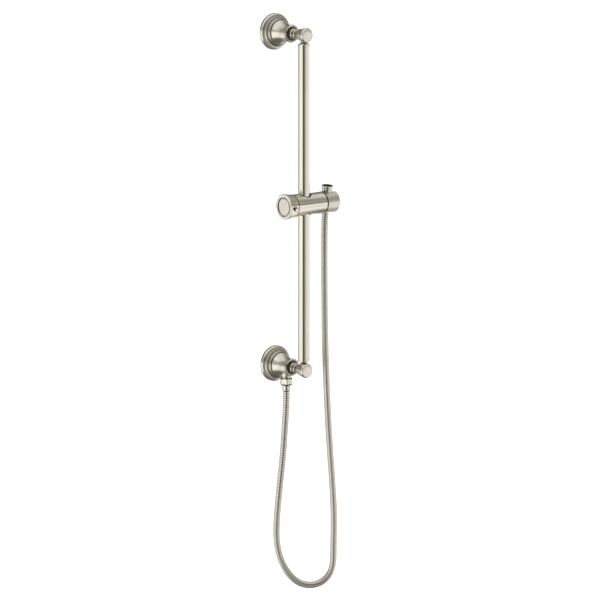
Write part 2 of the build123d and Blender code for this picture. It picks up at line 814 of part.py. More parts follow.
# Hose
bend_share = 0.45  # of the shorter run beside each point
points = [Vector(*p) for p in hose_route]
radii = []
for before, here, after in zip(points, points[1:], points[2:]):
    half_turn = radians((here - before).get_angle(after - here)) / 2
    shorter = min((here - before).length, (after - here).length)
    radii.append(bend_share * shorter / tan(half_turn))
with BuildPart() as hose:
    with BuildLine() as route:
        path = FilletPolyline(*points, radius=radii)
    with BuildSketch(Plane(origin=path @ 0, z_dir=path % 0)):
        Circle(hose_r)
    sweep()
save(hose.part, "hose")

print("hose radii, mm:", [round(r) for r in radii])
print("hose length, mm:", round(path.length, 1))
print("hose volume over section times length:", round(hose.part.volume / (pi * hose_r**2 * path.length), 4))
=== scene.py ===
import json
import math
import bmesh
import bpy
import numpy as np
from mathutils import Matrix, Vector


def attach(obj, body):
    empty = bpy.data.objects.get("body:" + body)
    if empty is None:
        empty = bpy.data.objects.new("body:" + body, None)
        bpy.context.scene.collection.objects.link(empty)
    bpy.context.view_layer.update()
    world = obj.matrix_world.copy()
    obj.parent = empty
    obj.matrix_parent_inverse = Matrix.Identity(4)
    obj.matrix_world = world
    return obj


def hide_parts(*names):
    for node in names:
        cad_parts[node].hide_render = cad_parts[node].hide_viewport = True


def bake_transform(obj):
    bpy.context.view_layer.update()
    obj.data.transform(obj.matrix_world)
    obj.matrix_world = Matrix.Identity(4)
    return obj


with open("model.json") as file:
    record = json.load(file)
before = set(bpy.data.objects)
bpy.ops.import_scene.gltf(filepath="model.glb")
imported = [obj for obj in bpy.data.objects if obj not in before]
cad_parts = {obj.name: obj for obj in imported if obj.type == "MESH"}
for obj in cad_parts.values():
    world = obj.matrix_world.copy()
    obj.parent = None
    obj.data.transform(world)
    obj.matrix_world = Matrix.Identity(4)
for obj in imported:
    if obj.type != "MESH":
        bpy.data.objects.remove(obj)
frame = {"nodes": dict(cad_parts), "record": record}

# A shower slide rail in warm nickel: two wall posts, a bar, a locking slider with a
# tilting holder, and an interlocked hose. The wall is y = 0 and the rail stands out
# towards -Y.

scene = bpy.context.scene
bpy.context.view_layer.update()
mm = 0.001
postSpacing = 711.0
barAxis = 100.0
sliderHeight = 354.5
leanAngle = math.radians(7.2)
socketCentre = np.array([63.1, -96.8, 354.5])
socketAxis = np.array([0.0, -math.sin(leanAngle), math.cos(leanAngle)])
xAxis = np.array([1.0, 0.0, 0.0])
outAxis = np.array([0.0, -1.0, 0.0])
upAxis = np.array([0.0, 0.0, 1.0])

print("camera")
cameraPlan = dict(
    azimuth=-38.892, elevation=10.431, distance=7.240, lens=204.7, target=(0.022, -0.060, 0.1428),
)
azimuth = math.radians(cameraPlan["azimuth"])
elevation = math.radians(cameraPlan["elevation"])
backward = Vector((
    math.sin(azimuth) * math.cos(elevation),
    -math.cos(azimuth) * math.cos(elevation),
    math.sin(elevation),
))
cameraData = bpy.data.cameras.new("camera")
cameraData.lens = cameraPlan["lens"]
cameraData.sensor_width = 36.0
cameraData.clip_end = 60.0
camera = bpy.data.objects.new("camera", cameraData)
camera.location = Vector(cameraPlan["target"]) + backward * cameraPlan["distance"]
camera.rotation_euler = backward.to_track_quat("Z", "Y").to_euler()
scene.collection.objects.link(camera)
scene.camera = camera


def makeNode(tree, kind, settings=None, inputs=None, output=0):
    # one node: its settings first, then the values or links of its sockets
    node = tree.nodes.new(kind)
    for key, value in (settings or {}).items():
        if key == "stops":
            ramp = node.color_ramp
            ends = ramp.elements[0], ramp.elements[-1]
            for element, (position, colour) in zip(ends, (value[0], value[-1])):
                element.position = position
                element.color = (*colour, 1.0)
            for position, colour in value[1:-1]:
                ramp.elements.new(position).color = (*colour, 1.0)
        else:
            setattr(node, key, value)
    for key, value in (inputs or {}).items():
        socket = node.inputs[key]
        if isinstance(value, Sock):
            tree.links.new(value.out, socket)
        else:
            socket.default_value = value
    return Sock(tree, node.outputs[output]) if node.outputs else None


class Sock:
    # an output socket; arithmetic on it adds Math nodes to its tree
    def __init__(self, tree, out):
        self.tree = tree
        self.out = out

    def node(self, kind, settings=None, inputs=None, output=0):
        return makeNode(self.tree, kind, settings, inputs, output)

    def math(self, operation, *values):
        return self.node("ShaderNodeMath", {"operation": operation}, dict(enumerate(values)))

    def __add__(self, other):
        return self.math("ADD", self, other)

    __radd__ = __add__

    def __mul__(self, other):
        return self.math("MULTIPLY", self, other)

    def __sub__(self, other):
        return self.math("SUBTRACT", self, other)

    def __rsub__(self, other):
        return self.math("SUBTRACT", other, self)

    def __truediv__(self, other):
        return self.math("DIVIDE", self, other)

    def part(self, index):
        return self.node("ShaderNodeSeparateXYZ", None, {0: self}, index)

    def step(self, low, high):
        # 0 below low, 1 above high, smooth between; falls when low > high
        rises = low < high
        return self.node("ShaderNodeMapRange", {"interpolation_type": "SMOOTHSTEP"}, {
            "Value": self,
            "From Min": min(low, high),
            "From Max": max(low, high),
            "To Min": 0.0 if rises else 1.0,
            "To Max": 1.0 if rises else 0.0,
        })

    def noise(self, scale, detail=2.0, roughness=0.5):
        return self.node("ShaderNodeTexNoise", None, {
            "Vector": self, "Scale": scale, "Detail": detail, "Roughness": roughness,
        })

    def blend(self, first, second):
        # this socket's value carries first into second
        return self.node("ShaderNodeMix", {"data_type": "RGBA"}, {0: self, 6: first, 7: second}, 2)


def vector(tree, x, y, z):
    return makeNode(tree, "ShaderNodeCombineXYZ", None, {0: x, 1: y, 2: z})


def newMaterial(name):
    material = bpy.data.materials.new(name)
    material.use_nodes = True
    tree = material.node_tree
    tree.nodes.clear()
    output = tree.nodes.new("ShaderNodeOutputMaterial")
    shader = tree.nodes.new("ShaderNodeBsdfPrincipled")
    tree.links.new(shader.outputs[0], output.inputs[0])
    return material, tree, shader


def setInput(tree, shader, key, value):
    if isinstance(value, Sock):
        tree.links.new(value.out, shader.inputs[key])
    elif key.endswith("Color") and len(value) == 3:
        shader.inputs[key].default_value = (*value, 1.0)
    else:
        shader.inputs[key].default_value = value


def spunVector(tree, coords, axis, centre):
    # (distance from the turning axis, height along it): rings on a turned surface
    local = coords.node("ShaderNodeVectorMath", {"operation": "SUBTRACT"}, {0: coords, 1: tuple(centre)}, 0)
    along = local.node("ShaderNodeVectorMath", {"operation": "DOT_PRODUCT"}, {0: local, 1: tuple(axis)}, 1)
    squared = local.node("ShaderNodeVectorMath", {"operation": "DOT_PRODUCT"}, {0: local, 1: local}, 1)
    across = squared - along * along
    radius = across.math("SQRT", across.math("MAXIMUM", across, 0.0))
    return vector(tree, radius, along, 0.0)


finishes = {
    "satin": dict(
        colour=(0.830, 0.786, 0.702), deep=(0.770, 0.722, 0.634), roughness=0.270, lines=0.030, bump=0.012,
    ),
    "bar": dict(
        colour=(0.830, 0.786, 0.702), deep=(0.790, 0.742, 0.654), roughness=0.150, lines=0.020, bump=0.004,
    ),
    "brushed": dict(
        colour=(0.830, 0.786, 0.702), deep=(0.770, 0.722, 0.634), roughness=0.340, lines=0.030, bump=0.012,
    ),
    "polished": dict(
        colour=(0.840, 0.793, 0.706), deep=(0.790, 0.742, 0.650), roughness=0.085, lines=0.010, bump=0.003,
    ),
    "disc": dict(
        colour=(0.850, 0.804, 0.720), deep=(0.800, 0.754, 0.670), roughness=0.300, lines=0.040, bump=0.020,
    ),
    "fittings": dict(
        colour=(0.760, 0.718, 0.640), deep=(0.700, 0.655, 0.574), roughness=0.150, lines=0.020, bump=0.008,
    ),
}


def nickel(name, finish, axis, centre, shadedSeams=(), shadedBores=()):
    # warm nickel plate: turning lines round an axis, slow cloudy tone and faint polishing marks.
    # Seams are (distance along the axis, half width) of joints and necks darkened with painted shade, and a
    # strength where it is under 1. Bores are (axis, centre, radius, strength) of hollows darkened with
    # painted shade
    look = finishes[finish]
    material, tree, shader = newMaterial(name)
    coords = makeNode(tree, "ShaderNodeTexCoord", None, None, 3)
    spun = spunVector(tree, coords, axis, np.asarray(centre) * mm)
    rings = spun.noise(1100.0, 3.0, 0.6)
    cloud = coords.noise(24.0, 3.0, 0.55)
    marks = coords.noise(700.0, 4.0, 0.7)
    tone = cloud.step(0.30, 0.72) * 0.55 + rings.step(0.35, 0.70) * 0.25
    colour = tone.blend((*look["colour"], 1.0), (*look["deep"], 1.0))
    paintedShade = None
    for distance, width, *strength in shadedSeams:
        away = spun.part(1) - distance * mm
        line = away.math("ABSOLUTE", away).step(width * mm, width * 0.55 * mm) * (strength or [1.0])[0]
        paintedShade = line if paintedShade is None else paintedShade.math("MAXIMUM", paintedShade, line)
    for boreAxis, boreCentre, radius, strength in shadedBores:
        across = spunVector(tree, coords, boreAxis, np.asarray(boreCentre) * mm).part(0)
        hollowShade = across.step(radius * mm, (radius - 0.5) * mm) * strength
        paintedShade = hollowShade if paintedShade is None else paintedShade.math("MAXIMUM", paintedShade, hollowShade)
    rough = (
        look["roughness"] + (rings - 0.5) * look["lines"] * 2.0
        + (cloud - 0.5) * 0.06 + (marks - 0.5) * 0.03
    )
    # painted shade: the colour sinks to near black in the seams and bores, where shade falls
    if paintedShade is not None:
        colour = paintedShade.blend(colour, (0.042, 0.037, 0.029, 1.0))
        rough = rough + paintedShade * 0.25
    setInput(tree, shader, "Base Color", colour)
    setInput(tree, shader, "Metallic", 1.0)
    setInput(tree, shader, "Roughness", rough)
    height = rings * 0.7 + marks * 0.3
    bump = height.node("ShaderNodeBump", None, {
        "Strength": look["bump"], "Distance": 0.0004, "Height": height,
    })
    setInput(tree, shader, "Normal", bump)
    return material


def plain(name, colour, deep, roughness, metallic, scale, bump):
    # a cast, moulded or machined finish: cloudy tone, grain in the gloss and a fine bump
    material, tree, shader = newMaterial(name)
    coords = makeNode(tree, "ShaderNodeTexCoord", None, None, 3)
    cloud = coords.noise(60.0, 3.0, 0.6)
    grain = coords.noise(scale, 4.0, 0.7)
    setInput(tree, shader, "Base Color", cloud.step(0.25, 0.75).blend((*colour, 1.0), (*deep, 1.0)))
    setInput(tree, shader, "Metallic", metallic)
    setInput(tree, shader, "Roughness", roughness + (grain - 0.5) * 0.20)
    setInput(tree, shader, "Normal", grain.node("ShaderNodeBump", None, {
        "Strength": bump, "Distance": 0.0003, "Height": grain,
    }))
    return material


def hoseMetal():
    # interlocked strip: the piece's own "groove" runs from 0 on a crown to 1 in a seam, where the colour
    # sinks to a painted shade and the gloss goes, and "along" breaks the tone from turn to turn
    material, tree, shader = newMaterial("hose_strip")
    coords = makeNode(tree, "ShaderNodeTexCoord", None, None, 3)
    groove = makeNode(tree, "ShaderNodeAttribute", {"attribute_name": "groove"}, None, 2)
    along = makeNode(tree, "ShaderNodeAttribute", {"attribute_name": "along"}, None, 2)
    turns = vector(tree, along, 0.0, 0.0).noise(1.3, 2.0, 0.6)
    cloud = coords.noise(300.0, 3.0, 0.6)
    crown = (turns.step(0.3, 0.7) * 0.6 + cloud * 0.3).blend(
        (0.910, 0.862, 0.780, 1.0), (0.820, 0.772, 0.688, 1.0),
    )
    # painted shade: the colour sinks to near black in the seams between turns
    setInput(tree, shader, "Base Color", groove.step(0.20, 0.85).blend(crown, (0.070, 0.062, 0.046, 1.0)))
    setInput(tree, shader, "Metallic", 1.0)
    setInput(tree, shader, "Roughness", 0.11 + groove * 0.30 + (cloud - 0.5) * 0.06)
    setInput(tree, shader, "Normal", cloud.node("ShaderNodeBump", None, {
        "Strength": 0.04, "Distance": 0.0003, "Height": cloud,
    }))
    return material


def arc(centre, radius, start, end, count=14):
    # points at a radius from a centre, from one angle to another, in degrees
    angles = np.radians(np.linspace(start, end, count))
    return np.stack([centre[0] + radius * np.cos(angles), centre[1] + radius * np.sin(angles)], axis=1)


def soften(points, cut, count=6):
    # every inner corner becomes a curve from a point before it to a point after it:
    # (1-t)^2 before + 2t(1-t) corner + t^2 after, each at most 0.45 of its run away
    points = np.asarray(points, float)
    runs = np.diff(points, axis=0)
    lengths = np.linalg.norm(runs, axis=1)
    keep = lengths > 1e-6
    points = np.vstack([points[:1], points[1:][keep]])
    runs, lengths = runs[keep], lengths[keep]
    units = runs / lengths[:, None]
    reach = np.minimum(cut, 0.45 * np.minimum(lengths[:-1], lengths[1:]))[:, None]
    corner = points[1:-1]
    before = corner - units[:-1] * reach
    after = corner + units[1:] * reach
    t = np.linspace(0.0, 1.0, count)[None, :, None]
    curve = (1 - t) ** 2 * before[:, None] + 2 * t * (1 - t) * corner[:, None] + t ** 2 * after[:, None]
    return np.vstack([points[:1], curve.reshape(-1, 2), points[-1:]])


def square(axis):
    # two unit vectors across an axis, so that the three are right-handed
    axis = np.asarray(axis, float) / np.linalg.norm(axis)
    helper = upAxis if abs(axis[2]) < 0.9 else xAxis
    first = np.cross(helper, axis)
    first /= np.linalg.norm(first)
    return axis, first, np.cross(axis, first)


def gridFaces(rows, columns, closeRows, closeColumns):
    i = np.arange(rows if closeRows else rows - 1)[:, None]
    j = np.arange(columns if closeColumns else columns - 1)[None, :]
    i2, j2 = (i + 1) % rows, (j + 1) % columns
    corners = [i * columns + j, i * columns + j2, i2 * columns + j2, i2 * columns + j]
    return np.stack(corners, axis=-1).reshape(-1, 4)


def makeMesh(name, vertices, faces, smoothAngle=34.0):
    # vertices in millimetres; doubles are merged, faces turned outwards and sharp edges marked
    mesh = bpy.data.meshes.new(name)
    mesh.from_pydata((np.asarray(vertices) * mm).tolist(), [], [list(map(int, f)) for f in faces])
    return tidyMesh(mesh, smoothAngle)


def tidyMesh(mesh, smoothAngle=34.0):
    work = bmesh.new()
    work.from_mesh(mesh)
    bmesh.ops.remove_doubles(work, verts=work.verts, dist=2e-6)
    bmesh.ops.dissolve_degenerate(work, edges=work.edges, dist=1e-7)
    bmesh.ops.recalc_face_normals(work, faces=work.faces)
    work.to_mesh(mesh)
    work.free()
    mesh.shade_smooth()
    mesh.set_sharp_from_angle(angle=math.radians(smoothAngle))
    return mesh


def newObject(name, mesh):
    thing = bpy.data.objects.new(name, mesh)
    scene.collection.objects.link(thing)
    return thing


def turned(name, outline, axis, centre, segments=120, closed=False):
    # a surface of revolution: centre + axis * distance + radius * (first cos a + second sin a)
    axis, first, second = square(axis)
    outline = np.asarray(outline, float)
    angle = np.linspace(0.0, 2 * np.pi, segments, endpoint=False)[None, :, None]
    distance = outline[:, 0][:, None, None]
    radius = outline[:, 1][:, None, None]
    points = (
        np.asarray(centre, float) + axis * distance
        + radius * (first * np.cos(angle) + second * np.sin(angle))
    )
    faces = gridFaces(len(outline), segments, closed, True)
    return newObject(name, makeMesh(name, points.reshape(-1, 3), faces))


def prism(name, outline, centre, across, up, low, high):
    # a flat outline (across, up) carried along the third axis from low to high
    across, up = np.asarray(across, float), np.asarray(up, float)
    normal = np.cross(across, up)
    flat = np.asarray(centre, float) + outline[:, :1] * across + outline[:, 1:2] * up
    points = np.vstack([flat + normal * low, flat + normal * high])
    count = len(outline)
    faces = [list(f) for f in gridFaces(2, count, False, True)]
    faces += [list(range(count)), list(range(count, 2 * count))]
    return newObject(name, makeMesh(name, points, faces))


def carve(piece, tool, operation="DIFFERENCE"):
    # cut the tool out of the piece, or join it on, and keep only the result's mesh
    modifier = piece.modifiers.new("carve", "BOOLEAN")
    modifier.operation = operation
    modifier.object = tool
    modifier.solver = "EXACT"
    evaluated = piece.evaluated_get(bpy.context.evaluated_depsgraph_get())
    mesh = bpy.data.meshes.new_from_object(evaluated)
    piece.modifiers.clear()
    old = piece.data
    piece.data = tidyMesh(mesh)
    bpy.data.meshes.remove(old)
    bpy.data.meshes.remove(tool.data)
    return piece


record = frame["record"]
bodyOf = {n: body for body, nodes in record["behaviour"]["bodies"].items() for n in nodes}
slotOf = {row["node"]: row["material_slot"] for row in record["subparts"]}


def stand(piece, node, material):
    # the piece takes the place and body of a CAD node, with the material it is given
    piece.data.materials.clear()
    piece.data.materials.append(material)
    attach(piece, bodyOf[node])
    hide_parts(node)
    return piece


print("studio")
studioAround = [
    (-180, 0.34), (-150, 0.34), (-122, 0.56), (-102, 0.92), (-86, 0.78), (-66, 1.22), (-40, 1.26),
    (-25, 0.72), (-11, 0.06), (5, 0.06), (13, 0.24), (28, 0.56), (46, 0.80), (72, 0.92), (104, 1.02),
    (142, 1.12), (168, 0.80), (180, 0.34),
]
studioUp = [
    (-90, 0.20), (-60, 0.14), (-52, 0.20), (-47, 0.52), (-42, 0.86), (-35, 1.04), (-27, 1.06), (-19, 0.90),
    (-12, 1.00), (1, 0.98), (5, 0.80), (7.2, 0.12), (11.0, 0.12), (13.2, 0.42), (19, 0.44), (27, 0.34),
    (37, 0.34), (43, 0.46), (48, 0.66), (56, 0.84), (90, 0.95),
]


def curveRamp(value, points, low, high):
    # a grey ramp through (value, level) points, levels halved so that they fit in 0 to 1
    stops = [((v - low) / (high - low), (level / 2,) * 3) for v, level in points]
    scaled = (value - low) / (high - low)
    ramp = scaled.node("ShaderNodeValToRGB", {"stops": stops}, {0: scaled})
    return ramp * 2.0


world = bpy.data.worlds.new("studio")
scene.world = world
world.use_nodes = True
tree = world.node_tree
tree.nodes.clear()
direction = makeNode(tree, "ShaderNodeTexCoord", None, None, 0)
facing = direction.node("ShaderNodeVectorMath", {"operation": "DOT_PRODUCT"}, {
    0: direction, 1: (math.sin(azimuth), -math.cos(azimuth), 0.0),
}, 1)
sideways = direction.node("ShaderNodeVectorMath", {"operation": "DOT_PRODUCT"}, {
    0: direction, 1: (math.cos(azimuth), math.sin(azimuth), 0.0),
}, 1)
degrees = 180.0 / math.pi
around = sideways.math("ARCTAN2", sideways, facing) * degrees
rise = direction.part(2).math("ARCSINE", direction.part(2)) * degrees
fade = rise.math("ABSOLUTE", rise).step(28.0, 62.0)
ringLevel = curveRamp(around, studioAround, -180.0, 180.0)
level = (ringLevel * (1.0 - fade) + fade * 0.95) * curveRamp(rise, studioUp, -90.0, 90.0)
tint = level.step(0.05, 0.85).blend((1.0, 0.985, 0.860, 1.0), (1.0, 0.995, 0.990, 1.0))
reflected = makeNode(tree, "ShaderNodeBackground", None, {"Color": tint, "Strength": level})
seen = makeNode(tree, "ShaderNodeBackground", None, {"Color": (1.0, 1.0, 1.0, 1.0), "Strength": 1.0})
lightPath = makeNode(tree, "ShaderNodeLightPath", None, None, 0)
mixed = makeNode(tree, "ShaderNodeMixShader", None, {0: lightPath, 1: reflected, 2: seen})
makeNode(tree, "ShaderNodeOutputWorld", None, {0: mixed})

floorPlan = dict(height=-620.0, size=40000.0)
half = floorPlan["size"]
corners = np.array([[-half, -half], [half, -half], [half, half], [-half, half]])
floorPoints = np.column_stack([corners, np.full(4, floorPlan["height"])])
floor = newObject("floor", makeMesh("floor", floorPoints, [[0, 1, 2, 3]]))
floorMaterial, tree, shader = newMaterial("pale_floor")
setInput(tree, shader, "Base Color", (0.93, 0.93, 0.93))
setInput(tree, shader, "Roughness", 1.0)
setInput(tree, shader, "Emission Color", (1.0, 1.0, 1.0))
setInput(tree, shader, "Emission Strength", 0.75)
floor.data.materials.append(floorMaterial)
floor.visible_glossy = False
floor.visible_diffuse = False

softBoxes = [
    dict(
        name="upper_softbox", ring=-46.0, rise=46.0, distance=2600.0, width=2200.0, height=1400.0, energy=4.0,
    ),
    dict(
        name="low_softbox", ring=-100.0, rise=-20.0, distance=2800.0, width=1400.0, height=1400.0, energy=1.5,
    ),
]
for box in softBoxes:
    lamp = bpy.data.lights.new(box["name"], "AREA")
    lamp.shape = "RECTANGLE"
    lamp.size, lamp.size_y = box["width"] * mm, box["height"] * mm
    lamp.energy = box["energy"]
    turn, lift = azimuth + math.radians(box["ring"]), math.radians(box["rise"])
    outward = Vector((math.sin(turn) * math.cos(lift), -math.cos(turn) * math.cos(lift), math.sin(lift)))
    lampObject = bpy.data.objects.new(box["name"], lamp)
    lampObject.location = Vector((0.0, -0.06, 0.15)) + outward * box["distance"] * mm
    lampObject.rotation_euler = outward.to_track_quat("Z", "Y").to_euler()
    lampObject.visible_camera = False
    scene.collection.objects.link(lampObject)

scene.view_settings.view_transform = "Standard"

print("hose")
hosePlan = dict(diameter=14.8, pitch=5.0, depth=1.1, columns=30)
hoseRoute = [
    (0, -0.041, -0.0536),
    (0, -0.041, -0.080),
    (-0.002, -0.039, -0.131),
    (-0.006, -0.036, -0.202),
    (-0.012, -0.032, -0.270),
    (-0.016, -0.028, -0.331),
    (-0.017, -0.027, -0.378),
    (-0.012, -0.031, -0.417),
    (-0.002, -0.040, -0.449),
    (0.016, -0.054, -0.475),
    (0.037, -0.071, -0.4835),
    (0.0565, -0.087, -0.478),
    (0.071, -0.099, -0.4615),
    (0.078, -0.105, -0.437),
    (0.0785, -0.105, -0.391),
    (0.079, -0.106, -0.340),
    (0.078, -0.105, -0.290),
    (0.073, -0.101, -0.200),
    (0.068, -0.097, -0.100),
    (0.064, -0.094, 0.030),
    (0.0625, -0.0925, 0.150),
    (0.0625, -0.092, 0.250),
    (0.0631, -0.0918, 0.3149),
    (0.0631, -0.0958, 0.34656),
]


def splineLine(points):
    # the smooth line of a NURBS spline that has the points as its control points
    data = bpy.data.curves.new("route", "CURVE")
    data.dimensions = "3D"
    data.resolution_u = 24
    spline = data.splines.new("NURBS")
    spline.points.add(len(points) - 1)
    spline.points.foreach_set("co", np.column_stack([points, np.ones(len(points))]).ravel())
    spline.order_u = 3
    spline.use_endpoint_u = True
    holder = bpy.data.objects.new("route", data)
    scene.collection.objects.link(holder)
    bpy.context.view_layer.update()
    mesh = bpy.data.meshes.new_from_object(holder.evaluated_get(bpy.context.evaluated_depsgraph_get()))
    line = np.zeros(len(mesh.vertices) * 3)
    mesh.vertices.foreach_get("co", line)
    bpy.data.objects.remove(holder)
    bpy.data.meshes.remove(mesh)
    return line.reshape(-1, 3)


def alongLine(line, wanted):
    # places and directions at given lengths along a line of points
    steps = np.linalg.norm(np.diff(line, axis=0), axis=1)
    lengths = np.concatenate([[0.0], np.cumsum(steps)])
    places = np.stack([np.interp(wanted, lengths, line[:, k]) for k in range(3)], axis=-1)
    slopes = np.gradient(line, lengths, axis=0)
    directions = np.stack([np.interp(wanted, lengths, slopes[:, k]) for k in range(3)], axis=-1)
    directions /= np.linalg.norm(directions, axis=-1, keepdims=True)
    return places, directions, lengths[-1]


def interlockedHose(name, route, plan):
    # one long helical strip. Row i, column j lies (i / rowsPerTurn + j / columns) turns along;
    # its radius falls from the crown by depth * a narrow seam once in each turn. Beyond both ends
    # the radius runs down to nothing, which closes them with flat discs.
    line = splineLine(np.array(route)) / mm
    total = alongLine(line, np.zeros(1))[2]
    profile = np.array([0.00, 0.06, 0.12, 0.21, 0.38, 0.56, 0.76, 0.88, 0.94])  # places within one turn
    sink = np.array([1.00, 0.85, 0.18, 0.02, 0.00, 0.00, 0.02, 0.16, 0.82])  # how far down the seam
    pitch, columns, rows = plan["pitch"], plan["columns"], len(profile)
    turns = int(total / pitch) + 3
    row = ((np.arange(turns)[:, None] - 1.5) + profile[None, :]).ravel()
    raw = (row[:, None] + np.arange(columns)[None, :] / columns) * pitch
    place, direction, _ = alongLine(line, np.clip(raw, 0.0, total))
    # every section is set square to the line, with the plane of the hanging loop as its reference
    loopNormal = np.array([0.636, 0.772, 0.0])
    first = np.cross(loopNormal, direction)
    first /= np.linalg.norm(first, axis=-1, keepdims=True)
    second = np.cross(direction, first)
    inside = np.clip(1.0 + np.minimum(raw, total - raw) / (0.3 * pitch), 0.0, 1.0)
    seam = np.tile(sink, turns)[:, None] * np.ones(columns)
    radius = (plan["diameter"] / 2 - plan["depth"] * seam) * inside
    angle = (np.arange(columns) / columns * 2 * np.pi)[None, :, None]
    points = place + radius[..., None] * (first * np.cos(angle) + second * np.sin(angle))
    count = len(row)
    faces = gridFaces(count, columns, False, False)
    turnStart = np.arange(count - rows - 1)
    last, start = turnStart * columns + columns - 1, (turnStart + rows) * columns
    faces = np.vstack([faces, np.stack([last, start, start + columns, last + columns], axis=1)])
    mesh = bpy.data.meshes.new(name)
    mesh.from_pydata((points.reshape(-1, 3) * mm).tolist(), [], faces.tolist())
    for key, values in (("groove", seam.ravel()), ("along", raw.ravel() / pitch)):
        mesh.attributes.new(key, "FLOAT", "POINT").data.foreach_set("value", values)
    return newObject(name, tidyMesh(mesh, 60.0)), line * mm, total * mm


hose, hoseLine, hoseLength = interlockedHose("shower_hose", hoseRoute, hosePlan)
print("hose length", round(hoseLength, 4), "faces", len(hose.data.polygons))
hose.data.materials.append(hoseMetal())
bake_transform(hose)
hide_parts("hose")

print("posts and bar")


def through(a, middle, b, count=14):
    # points of the circle through three points, from the first to the last
    a, middle, b = (np.array(p, float) for p in (a, middle, b))
    p, q = middle - a, b - a
    cross = 2 * (p[0] * q[1] - p[1] * q[0])
    centre = a + np.array([q[1] * (p @ p) - p[1] * (q @ q), p[0] * (q @ q) - q[0] * (p @ p)]) / cross
    angles = np.unwrap([math.atan2(*(point - centre)[::-1]) for point in (a, middle, b)])
    swept = np.linspace(angles[0], angles[2], count)
    return centre + np.linalg.norm(a - centre) * np.column_stack([np.cos(swept), np.sin(swept)])


def bell(start, end, rows, startSlope, count=30):
    # a smooth taper: radius = cubic Hermite pieces through the rows, flat at the end
    rows = np.array([start, *rows, end], float)
    slopes = np.gradient(rows[:, 1], rows[:, 0])
    slopes[0], slopes[-1] = startSlope, -0.02
    out = []
    for k in range(len(rows) - 1):
        t = np.linspace(0, 1, count // (len(rows) - 1), endpoint=False)
        width = rows[k + 1, 0] - rows[k, 0]
        radius = (
            (2 * t ** 3 - 3 * t ** 2 + 1) * rows[k, 1]
            + (t ** 3 - 2 * t ** 2 + t) * width * slopes[k]
            + (3 * t ** 2 - 2 * t ** 3) * rows[k + 1, 1]
            + (t ** 3 - t ** 2) * width * slopes[k + 1]
        )
        out.append(np.column_stack([rows[k, 0] + width * t, radius]))
    return np.vstack([*out, rows[-1:]])


flangePlan = dict(outline=np.vstack([
    soften([(0, 35.6), (0, 38.6), (3.4, 38.6)], 0.35),
    through((3.4, 38.6), (7.9, 37.2), (9.8, 34.6)),
    [(10.0, 33.9), (10.4, 33.2), (13.2, 33.05)],
    through((13.4, 33.0), (14.9, 30.0), (17.6, 28.4)),
    soften([
        (17.6, 28.3), (17.6, 21.0), (15.4, 21.0), (15.4, 26.0), (11.0, 30.6), (8.0, 31.0), (6.0, 35.6),
    ], 0.2),
]))
postPlan = dict(
    outside=np.vstack([
        soften([(17.8, 20.8), (17.8, 27.8), (18.4, 28.4), (20.0, 28.4)], 0.3),
        through((20.0, 28.4), (21.2, 27.9), (21.8, 26.8)),
        soften([(21.8, 26.8), (22.1, 25.5), (25.0, 25.4)], 0.25),
        bell((25.0, 25.4), (57.0, 17.2), [(32.0, 21.8), (41.0, 18.9)], -0.7),
    ]),
    front=[(57.0, 17.1), (57.0, 6.0), (48.0, 6.0), (48.0, 0.0)],
)
collarPlan = dict(outline=np.vstack([
    [(57.0, 6.0)],
    soften([(57.0, 16.0), (57.0, 17.7), (57.2, 17.9)], 0.2),
    through((57.2, 18.0), (60.0, 19.1), (63.0, 17.5)),
    soften([(63.0, 17.4), (62.9, 16.6), (62.5, 15.9)], 0.2),
    through((62.4, 15.7), (60.9, 13.4), (60.0, 10.0)),
    [(60.0, 6.0)],
]))
stemPlan = dict(outline=np.vstack([
    [(48.4, 0.0), (48.4, 6.0), (60.0, 6.0), (60.0, 8.0)],
    through((63.4, 8.0), (66.8, 10.9), (70.2, 8.0), 24),
    through((72.4, 8.0), (75.4, 10.2), (78.4, 8.0), 24),
    [(80.4, 8.0), (80.4, 5.0), (91.6, 5.0), (91.6, 0.0)],
]))
finialPlan = dict(outline=np.vstack([
    [(80.4, 5.0)],
    soften([(80.4, 8.4), (80.4, 9.4), (81.0, 9.55)], 0.3),
    through((81.2, 9.62), (90.5, 12.3), (103.7, 14.8), 30),
    soften([(103.9, 14.7), (104.3, 14.2), (105.3, 14.2), (105.7, 15.1)], 0.15),
    through((105.7, 15.1), (108.7, 15.6), (111.6, 14.4)),
    soften([(111.7, 14.3), (112.7, 13.7), (112.7, 12.24), (111.7, 12.24), (111.7, 0.0)], 0.25),
    [(91.8, 0.0), (91.8, 5.0)],
]))
capPlan = dict(outline=np.vstack([
    [(111.72, 0.0), (111.72, 12.15)],
    soften([(112.2, 12.15), (112.45, 12.15), (112.9, 9.95), (112.78, 9.6), (113.02, 9.2)], 0.15),
    through((113.04, 9.0), (113.23, 4.6), (113.3, 0.0), 16),
]))
barPlan = dict(radius=12.5, inside=11.3, ends=(24.2, postSpacing - 24.2))
plugPlan = dict(neck=6.75, heights=(1.8, 15.8, 19.2, 24.2, 38.2))
